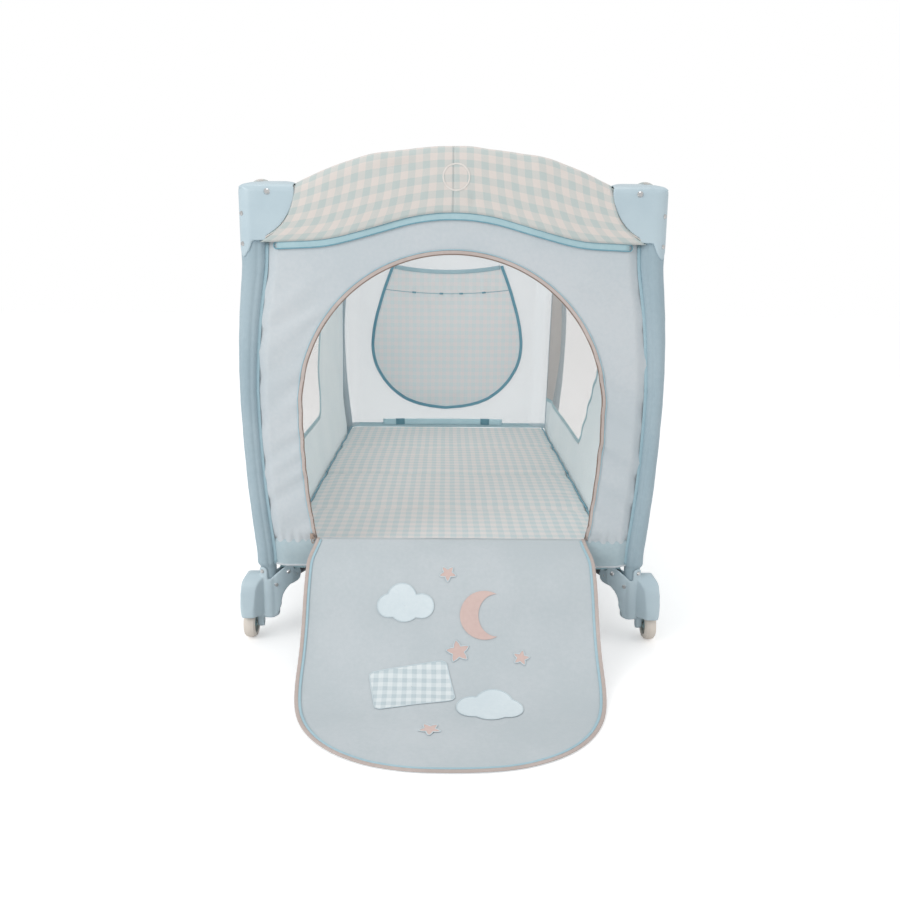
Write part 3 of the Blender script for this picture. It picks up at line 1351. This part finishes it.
def sail_edge(name, z):
    """Where a wall's sail ends at a height, as a place along the wall"""
    table = SAILS[name]
    low = table[0][0]
    eased = sum(float(np.interp(z + 0.008 * k, *table)) for k in (-1, 0, 1)) / 3
    wave = 0.0
    if name == "right_wall":
        wave = 0.006 * math.sin((z - low) * 2 * math.pi / 0.050) * (1 - smooth(0.38, 0.46, z))
    return eased + wave * smooth(low, low + 0.02, z)


FACING = 0.080
facing_cloth = cloth("cream facing", paint(248, 243, 240), paint(242, 236, 232), through=0.8)

# %% Sewing the long walls
def long_wall(name, sx, sy):
    """sy is the end that carries the sail"""
    low = SAILS[name][0][0]
    home = "rear_" + ("left" if sx < 0 else "right")

    def at(y, z, out=0.0):
        return Vector((sx * (side_x(z, y * sy, sx) + out), y * sy, z))

    def window(u, v):
        z = low - 0.004 + (SIDE_TOP - low + 0.004) * v
        reach = sail_edge(name, max(z, low)) + 0.004
        return at(-SIDE_END + (SIDE_END + reach) * u, z)

    net = drape(name + "_netting", side_net, (90, 60), window, (1.2, 0.52), (sx, 0, 0))
    gather(net, (home, "side"), "mesh_fabric", name)
    rows, more, top = 14, 50, 0.672
    meet_y = sail_edge(name, low)
    bm = bmesh.new()

    def patch(cells, place):
        part = drape("patch", side_cloth, cells, place, out=(sx, 0, 0))
        bm.from_mesh(part.data)
        bpy.data.objects.remove(part)

    def low_band(u, v):
        return at(-SIDE_END + (SIDE_END + meet_y) * u, SIDE_LOW + (low - SIDE_LOW) * v, 0.0010)

    def sail(u, v):
        k = v * (rows + more)
        z = SIDE_LOW + (low - SIDE_LOW) * k / rows if k <= rows else low + (top - low) * (k - rows) / more
        near = meet_y if k <= rows else sail_edge(name, z)
        return at(near + (SIDE_END - near) * u, z, 0.0010)

    patch((70, rows), low_band)
    patch((40, rows + more), sail)
    bmesh.ops.remove_doubles(bm, verts=bm.verts, dist=1e-5)
    area = cut_from(bm, (1, 2))

    def facing_point(u, v):
        return at(-SIDE_END + FACING * u, low + 0.004 + (SIDE_TOP - low - 0.004) * v, 0.0006)

    if sy < 0:
        facing = drape(name + "_facing", facing_cloth, (12, 60), facing_point, (FACING, 0.45), (sx, 0, 0))
        gather(facing, (home, "side"), "blue_fabric")
    panel = finish_mesh(name + "_cloth", bm, side_cloth)
    thicken(panel, 0.0012, 0.0)
    gather(panel, (home, "side"), "blue_fabric")
    edge = [(y, low) for y in np.linspace(-SIDE_END, meet_y - 0.012, 60)]
    edge += [(sail_edge(name, z), z) for z in np.linspace(low + 0.006, 0.665, 90)]
    edge = [at(y, z, 0.0006) for y, z in edge]
    binding = sweep(name + "_binding", band_cloth, edge, band(0.010, 0.0034), (sx, 0, 0))
    gather(binding, (home, "side"), "blue_fabric")
    for end, end_name in ((-1, "front"), (1, "rear")):
        path = [at(end * sy * (SIDE_END + 0.001), z, 0.0010) for z in np.linspace(HEM_Z, 0.684, 60)]
        seam = sweep(f"{name}_seam_{end_name}", piping_cloth, path, disc(0.0019), (sx, 0, 0))
        gather(seam, (end_name + ("_left" if sx < 0 else "_right"), None), "blue_fabric")
    return round(area, 3)


left_area = long_wall("left_wall", -1, 1)
right_area = long_wall("right_wall", 1, -1)
print("long walls carry", left_area, "and", right_area, "square metres of cloth")

# %% [markdown]
# ## Rail hoods
# A padded hood covers each top rail: it goes up one side, round over the tube and down the other,
# open below so that the lock can be reached. Each half of a hood bends at its joint: near the
# joint it keeps to the leg, and further on it goes with the rail.

# %% The hood's section
HOOD_R = 0.0225


def hood_section(v, tall):
    """(outwards from the rail, height over the lower edge) for v from the outer hem to the inner"""
    straight = tall - HOOD_R
    total = 2 * straight + math.pi * HOOD_R
    s = v * total
    if s < straight:
        return HOOD_R + 0.0035 * math.sin(math.pi * s / straight) ** 0.7, s
    if s < straight + math.pi * HOOD_R:
        a = (s - straight) / HOOD_R
        return HOOD_R * math.cos(a), straight + HOOD_R * math.sin(a)
    return -HOOD_R - 0.002 * math.sin(math.pi * (total - s) / straight), total - s


def hood_length(tall):
    """Length of a hood section along the cloth"""
    return 2 * (tall - HOOD_R) + math.pi * HOOD_R


REACH = ([0.0, 0.06, 0.12, 0.20, 0.30, 0.45, 0.65, 1.0],
         [0.0130, 0.0215, 0.0300, 0.0400, 0.0490, 0.0580, 0.0655, 0.0710])


def hood_stop(share):
    """How far from the leg a hood stops, at a share of its height: it hugs the round joint"""
    return float(np.interp(share, *REACH))


def end_hood_at(x, v, sy, lift=0.0):
    """A point of an end hood, and its share of the hood's height"""
    low = rounded(COVER_LOW, x, 0.006)
    top = rounded(COVER_TOP, x, 0.006) + 0.0014 * ripple(x * 22, sy, 0, 23.0)
    out, up = hood_section(v, top - low)
    bulk = 0.0022 * ripple(x * 9, v * 3, 0, 21.0) + 0.0012 * ripple(x * 26, v * 7, 0, 22.0)
    bulk -= 0.0015 * abs(ripple(x * 30 + v * 8, v * 5, 0, 24.0)) * smooth(0.02, 0.2, v)
    pleat = -0.004 * math.exp(-((v - 0.36) / 0.012) ** 2) * math.exp(-((x + 0.085) / 0.035) ** 2)
    pleat -= 0.003 * math.exp(-((v - 0.08) / 0.05) ** 2) * math.exp(-((x - 0.030) / 0.004) ** 2)
    edge = LEG_X - hood_stop(up / (top - low)) - abs(x)
    grow = (bulk + pleat) * smooth(0, 0.08, min(v, 1 - v)) * smooth(0, 0.02, edge)
    side = 1 if v < 0.5 else -1
    return Vector((x, sy * (LEG_Y + out + grow * side + lift), low + up + grow * 0.5)), up / (top - low)


def end_hood_point(u, v, sy):
    """Its end depends on its height, so both are found in four rounds"""
    across, share = 2 * u - 1, 0.5
    for _ in range(4):
        x = across * (LEG_X - hood_stop(share))
        place, share = end_hood_at(x, v, sy)
    return place


def side_hood_point(u, v, sx):
    """A point of a long hood, found the same way"""
    across, share = 2 * u - 1, 0.5
    for _ in range(4):
        y = across * (LEG_Y - hood_stop(share))
        low, top = 0.690 - 0.003 * math.cos(math.pi * y / 0.54), 0.7865
        out, up = hood_section(v, top - low)
        share = up / (top - low)
    grow = 0.0022 * ripple(y * 8, v * 3, 0, 31.0 + sx) + 0.0012 * ripple(y * 24, v * 7, 0, 32.0)
    grow *= smooth(0, 0.08, min(v, 1 - v)) * smooth(0, 0.02, LEG_Y - hood_stop(share) - abs(y))
    return Vector((sx * (LEG_X + out + grow * (1 if v < 0.5 else -1)), y, low + up + grow * 0.4))


def halves(whole, axis, bodies, stands_for=None):
    """Cuts a piece at its middle; each half rides on its own rail, and a hood bends at the joint"""
    for side, body in zip((-1, 1), bodies):
        bm = bmesh.new()
        bm.from_mesh(whole.data)
        bmesh.ops.bisect_plane(bm, geom=bm.verts[:] + bm.edges[:] + bm.faces[:], dist=1e-6,
                               plane_co=(0, 0, 0), plane_no=axis, clear_outer=side < 0, clear_inner=side > 0)
        half = finish_mesh(whole.name + ("_a" if side < 0 else "_b"), bm, whole.data.materials[0])
        if stands_for:
            thicken(half, 0.004)
            if side < 0:
                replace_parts(half, stands_for)
            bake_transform(half)
        else:
            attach(half, body)
    bpy.data.objects.remove(whole)


for end, sy in (("front", -1), ("rear", 1)):
    hood = drape(f"{end}_hood", cover_check, (130, 44), lambda u, v: end_hood_point(u, v, sy),
                 (0.5, hood_length(0.10)), (0, sy, 1))
    halves(hood, (1, 0, 0), [f"end_rail_{end}_left", f"end_rail_{end}_right"],
           f"rail_cover_{end}")
for side_name, sx in (("left", -1), ("right", 1)):
    hood = drape(f"{side_name}_hood", cover_check, (220, 44), lambda u, v: side_hood_point(u, v, sx),
                 (1.082, hood_length(0.097)), (sx, 0, 1))
    halves(hood, (0, 1, 0), [f"side_rail_front_{side_name}", f"side_rail_rear_{side_name}"],
           f"rail_cover_{side_name}")
print("four hoods, each in two halves")

# %% [markdown]
# ## Hems, gussets and a ring
# Under each end hood runs a pale binding between two lines of teal piping, with rounded ends. It
# is sewn to the wall, so it gathers with it. Where a hood meets the hard joint, a gusset, a short
# cuff of the same check, goes on into the joint and stays with the leg. An embroidered ring marks
# the middle of the front hood.

# %% Binding under the end hoods
BIND_HALF, BIND_GAP = 0.2815, 0.0053


def binding_loop(count=70):
    """(x, z) round the binding's outline: along the hood, round the end and back below"""
    xs = list(np.linspace(-BIND_HALF, BIND_HALF, count))
    turns = np.linspace(0, math.pi, 9)[1:-1]

    def mid(x):
        return rounded(COVER_LOW, x, 0.006) - BIND_GAP

    loop = [(x, mid(x) + BIND_GAP) for x in xs]
    loop += [(BIND_HALF + BIND_GAP * math.sin(a), mid(BIND_HALF) + BIND_GAP * math.cos(a)) for a in turns]
    loop += [(x, mid(x) - BIND_GAP) for x in xs[::-1]]
    loop += [(-x, z) for x, z in loop[count:count + len(turns)][::-1]]
    return loop, [(x, mid(x)) for x in xs]


for end, sy in (("front", -1), ("rear", 1)):
    loop, middle = binding_loop()
    middle = [(x, sy * (front_depth(x, z) + 0.0016), z) for x, z in middle]
    loop = [(x, sy * (front_depth(x, z) + 0.0026), z) for x, z in loop]
    tape = sweep(end + "_hood_binding", band_cloth, middle, band(0.0108, 0.0030), (0, sy, 0))
    piping = sweep(end + "_hood_piping", deep_cloth, loop, disc(0.0010), (0, sy, 0), closed=True)
    for piece in (tape, piping):
        gather(piece, (end + "_left", "end"), "blue_fabric")
print("bindings", round(2 * BIND_HALF, 3), "m long")

# %% Gussets at the joints
GUSSET_R, GUSSET_TOP = 0.0186, 0.7712
cuff_check = {"end": gingham("end cuff check", CHECK, "Object", CREAM, MINT, axes=(0, 2)),
              "side": gingham("side cuff check", CHECK, "Object", CREAM, MINT, axes=(1, 2))}


def gusset(corner, arm):
    """A short cuff from the hood's end into the joint"""
    sx, sy = CORNERS[corner]
    base = 0.684 if arm == "end" else 0.690

    def place(u, v):
        tall = GUSSET_TOP - base - 0.003
        straight = tall - GUSSET_R
        run = v * (2 * straight + math.pi * GUSSET_R)
        wide = HOOD_R + 0.0004 - (HOOD_R - GUSSET_R) * smooth(0.12, 0.42, u)
        if run < straight:
            out, up = wide, run
        elif run < straight + math.pi * GUSSET_R:
            a = (run - straight) / GUSSET_R
            out, up = wide * math.cos(a), straight + GUSSET_R * math.sin(a)
        else:
            out, up = -wide, 2 * straight + math.pi * GUSSET_R - run
        inward = hood_stop(up / tall) + 0.005 - 0.019 * u
        if arm == "end":
            return Vector((sx * (LEG_X - inward), sy * (LEG_Y + out), base + 0.003 + up))
        return Vector((sx * (LEG_X + out), sy * (LEG_Y - inward), base + 0.003 + up))

    cuff = drape(f"{arm}_gusset_{corner}", cuff_check[arm], (8, 32), place, (0.02, 0.2), (sx, sy, 1))
    thicken(cuff, 0.0010)
    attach(cuff, "leg_" + corner)


for corner in CORNERS:
    for arm in ("end", "side"):
        gusset(corner, arm)
print("eight gussets")

# %% The ring on the front hood
def on_front_hood(x, z, lift):
    """A point on the outer face of the front hood, by its height"""
    low, top = rounded(COVER_LOW, x, 0.006), rounded(COVER_TOP, x, 0.006)
    return end_hood_at(x, (z - low) / hood_length(top - low), -1, lift)[0]


RING_X, RING_Z, RING_R = 0.004, 0.784, 0.0205
ring_path = [on_front_hood(RING_X + RING_R * math.cos(a), RING_Z + RING_R * math.sin(a), 0.0003)
             for a in np.linspace(0, 2 * math.pi, 73)[:-1]]
ring = sweep("embroidered_ring", ring_thread, ring_path, band(0.0026, 0.0010), (0, -1, 0), closed=True)
halves(ring, (1, 0, 0), ["end_rail_front_left", "end_rail_front_right"])
print("ring embroidered")

# %% [markdown]
# ## Camera and light
# The playpen stands on a pale floor in soft light from above and in front. The eye is a little
# below the rails, two metres from the middle, looking a little down. The floor rides with a front
# leg, so that the feet stand on it however far the frame is folded.

# %% Camera, floor and lamps
view = bpy.data.cameras.new("view")
view.lens, view.sensor_width = 35.2, 36.0
eye = bpy.data.objects.new("eye", view)
bpy.context.scene.collection.objects.link(eye)
turns = [Matrix.Rotation(math.radians(a), 4, axis) for a, axis in ((-0.293, "Z"), (77.5, "X"), (0.45, "Z"))]
eye.matrix_world = Matrix.Translation((-0.0100, -2.075, 0.665)) @ turns[0] @ turns[1] @ turns[2]
bpy.context.scene.camera = eye

floor_finish = Finish("pale floor", (0.92, 0.92, 0.92, 1), 0.9)
seen = floor_finish.node("LightPath", out=0)
floor_finish.set("Emission Color", floor_finish.mix(seen, (0, 0, 0, 1), (1, 1, 1, 1)))
floor_finish.set("Emission Strength", 0.36)
bm = bmesh.new()
bmesh.ops.create_grid(bm, x_segments=2, y_segments=2, size=8.0)
floor = finish_mesh("studio_floor", bm, floor_finish.material)
floor.location = (0, 0, -0.0005)
floor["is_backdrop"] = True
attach(floor, "leg_front_left")

world = bpy.data.worlds.new("studio")
world.use_nodes = True
bpy.context.scene.world = world
tree = world.node_tree
backdrop = tree.nodes["Background"]
backdrop.inputs[0].default_value = (1, 1, 1, 1)
path_kind = tree.nodes.new("ShaderNodeLightPath")
level = tree.nodes.new("ShaderNodeMath")
level.operation = "MAXIMUM"
level.inputs[1].default_value = 0.70
tree.links.new(path_kind.outputs["Is Camera Ray"], level.inputs[0])
tree.links.new(level.outputs[0], backdrop.inputs[1])


def lamp(name, place, target, size, power):
    """A round soft lamp that looks at a target"""
    light = bpy.data.lights.new(name, "AREA")
    light.shape, light.size, light.energy = "DISK", size, power
    holder = bpy.data.objects.new(name, light)
    bpy.context.scene.collection.objects.link(holder)
    holder.location = place
    holder.rotation_euler = (Vector(target) - Vector(place)).to_track_quat("-Z", "Y").to_euler()


lamp("key", (-2.2, -2.6, 2.0), (0, -0.2, 0.4), 2.0, 36)
lamp("fill", (2.4, -1.6, 1.6), (0, 0, 0.4), 2.2, 6)
lamp("top", (0.0, 0.1, 2.6), (0, 0.1, 0.2), 1.6, 8)
bpy.context.scene.view_settings.view_transform = "Standard"
print("camera at", tuple(round(c, 3) for c in eye.matrix_world.translation))

# %% [markdown]
# ## Sizes to compare
# The dressed playpen must stay inside the frame's own box, apart from the thickness of cloth.

# %% Measure and hand over
dressed_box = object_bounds()
boxes = {"cad": [list(map(float, c)) for c in cad_box], "visual": [list(map(float, c)) for c in dressed_box]}
for name, box in boxes.items():
    print(name, "box", [[round(x, 3) for x in c] for c in box])
